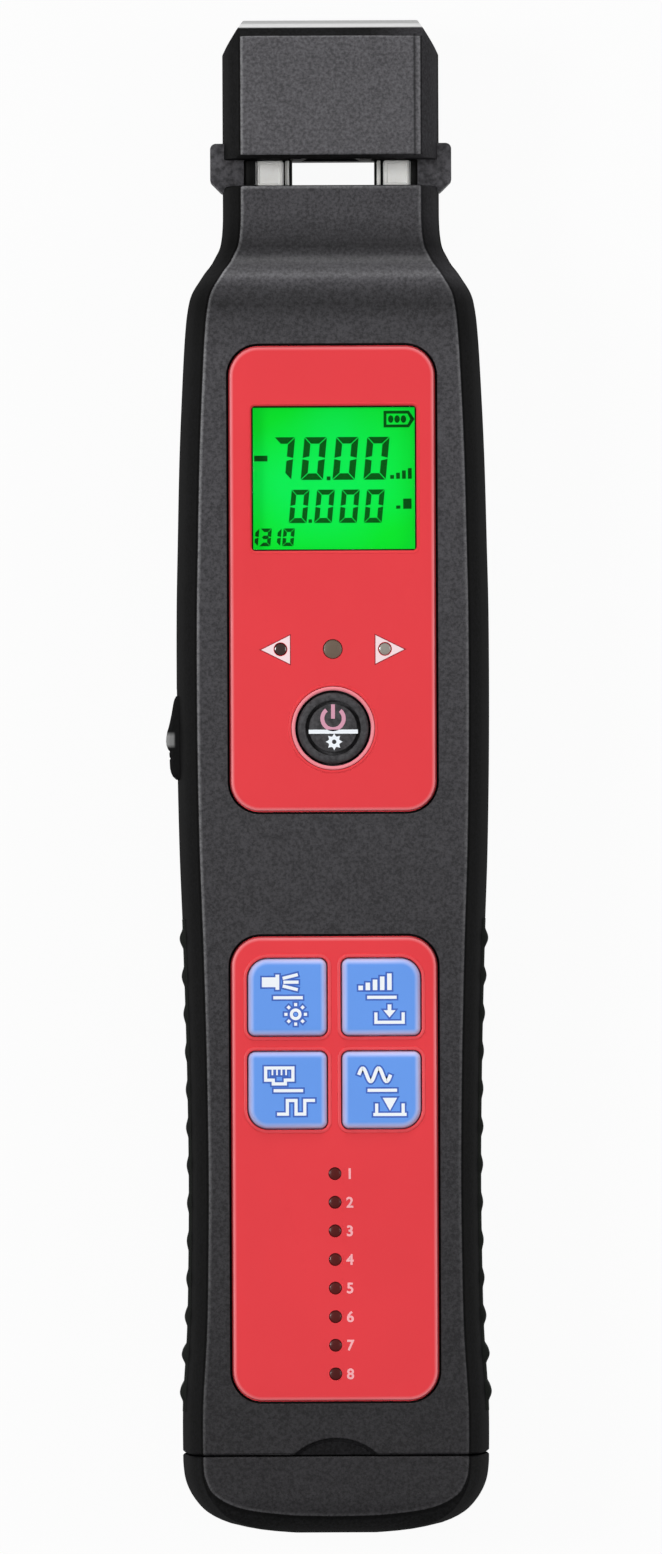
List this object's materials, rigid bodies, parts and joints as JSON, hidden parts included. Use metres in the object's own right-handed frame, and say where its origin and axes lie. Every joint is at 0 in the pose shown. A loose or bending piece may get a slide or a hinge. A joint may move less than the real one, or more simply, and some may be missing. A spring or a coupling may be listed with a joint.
{
  "type": "optical fibre identifier",
  "caption": "Hand-held optical fibre identifier with a clamp slot at the head, thumb slider, display, keys, wire map lamps, sliding battery door and a hinged cover over its test ports.",
  "frame": {"origin": "on the flat back, on the centre line, half way along the length", "axes": "+Y towards the sensing head, +Z out of the front face, +X to the right as the front is read"},
  "size_m": [0.0431, 0.2, 0.0297],
  "materials": {
    "shell_front": "fine spark-textured dark grey moulding",
    "shell_back": "satin black moulding",
    "head_grey": "spark-textured grey moulding",
    "faceplate_red": "printed red overlay, semi-gloss",
    "lcd_clear": "clear polished window",
    "lcd_green": "bright green display",
    "light_guide": "white light guide",
    "contact_gold": "gold-plated contacts",
    "board_green": "solder-masked circuit board",
    "black_plastic": "black engineering plastic",
    "lamp_lens": "milky lamp lens",
    "power_black": "dark grey satin key",
    "key_blue": "soft blue key cap",
    "pad_pale": "pale grey pads",
    "steel": "plain steel",
    "detector_metal": "machined housings",
    "adapter_metal": "nickel-plated adapters",
    "lead_black": "insulated lead",
    "cell_jacket": "plain jacketed cells",
    "grip_rubber": "soft black grip"
  },
  "bodies": {
    "case": {"front_shell": "shell_front", "rear_shell": "shell_back", "head_block": "head_grey", "head_cover": "shell_back", "left_ear": "head_grey", "right_ear": "head_grey", "guide_posts": "black_plastic", "fibre_pads": "pad_pale", "tie_rods": "steel", "anvil": "detector_metal", "photodiodes": "detector_metal", "detector_lead": "lead_black", "upper_faceplate": "faceplate_red", "lower_faceplate": "faceplate_red", "lcd_window": "lcd_clear", "lcd_glass": "lcd_green", "lcd_backlight": "light_guide", "lcd_pins": "contact_gold", "main_board": "board_green", "lamp_board": "board_green", "board_header": "black_plastic", "direction_lamps": "lamp_lens", "signal_lamp": "lamp_lens", "wire_map_lamps": "lamp_lens", "power_key_rim": "power_black", "switches": "black_plastic", "buzzer": "black_plastic", "battery_box": "black_plastic", "battery_cells": "cell_jacket", "battery_contacts": "steel", "battery_springs": "steel", "port_plate": "shell_back", "power_meter_adapter": "adapter_metal", "power_meter_detector": "detector_metal", "visible_laser_adapter": "adapter_metal", "visible_laser": "detector_metal", "modular_jack": "black_plastic", "jack_contacts": "contact_gold", "torch_lamp": "lamp_lens", "cover_hinge_pin": "steel", "case_screws": "steel", "board_screws": "steel", "head_screws": "steel", "left_grip": "grip_rubber", "right_grip": "grip_rubber", "plunger_guide": "detector_metal"},
    "clamp": {"thumb_slider": "shell_back", "slide_plate": "steel", "plunger": "steel", "return_spring": "steel"},
    "power_key": {"power_key": "power_black"},
    "key_top_left": {"key_top_left": "key_blue"},
    "key_top_right": {"key_top_right": "key_blue"},
    "key_bottom_left": {"key_bottom_left": "key_blue"},
    "key_bottom_right": {"key_bottom_right": "key_blue"},
    "end_cover": {"end_cover": "shell_front"},
    "battery_door": {"battery_door": "shell_back"}
  },
  "joints": [
    {"name": "clamp_slide", "type": "slide", "parent": "case", "child": "clamp", "axis": [0, 1, 0], "range_m": [0, 0.003], "stiffness_N_per_m": 400, "springref_m": -0.002, "deforming": ["return_spring"]},
    {"name": "power_key_press", "type": "slide", "parent": "case", "child": "power_key", "axis": [0, 0, -1], "range_m": [0, 0.0008], "stiffness_N_per_m": 1500, "springref_m": -0.0003},
    {"name": "key_top_left_press", "type": "slide", "parent": "case", "child": "key_top_left", "axis": [0, 0, -1], "range_m": [0, 0.0008], "stiffness_N_per_m": 1500, "springref_m": -0.0003},
    {"name": "key_top_right_press", "type": "slide", "parent": "case", "child": "key_top_right", "axis": [0, 0, -1], "range_m": [0, 0.0008], "stiffness_N_per_m": 1500, "springref_m": -0.0003},
    {"name": "key_bottom_left_press", "type": "slide", "parent": "case", "child": "key_bottom_left", "axis": [0, 0, -1], "range_m": [0, 0.0008], "stiffness_N_per_m": 1500, "springref_m": -0.0003},
    {"name": "key_bottom_right_press", "type": "slide", "parent": "case", "child": "key_bottom_right", "axis": [0, 0, -1], "range_m": [0, 0.0008], "stiffness_N_per_m": 1500, "springref_m": -0.0003},
    {"name": "cover_hinge", "type": "hinge", "parent": "case", "child": "end_cover", "pos_m": [0, -0.0926, 0.008], "axis": [1, 0, 0], "range_deg": [0, 90]},
    {"name": "door_slide", "type": "slide", "parent": "case", "child": "battery_door", "axis": [0, -1, 0], "range_m": [0, 0.012]}
  ]
}
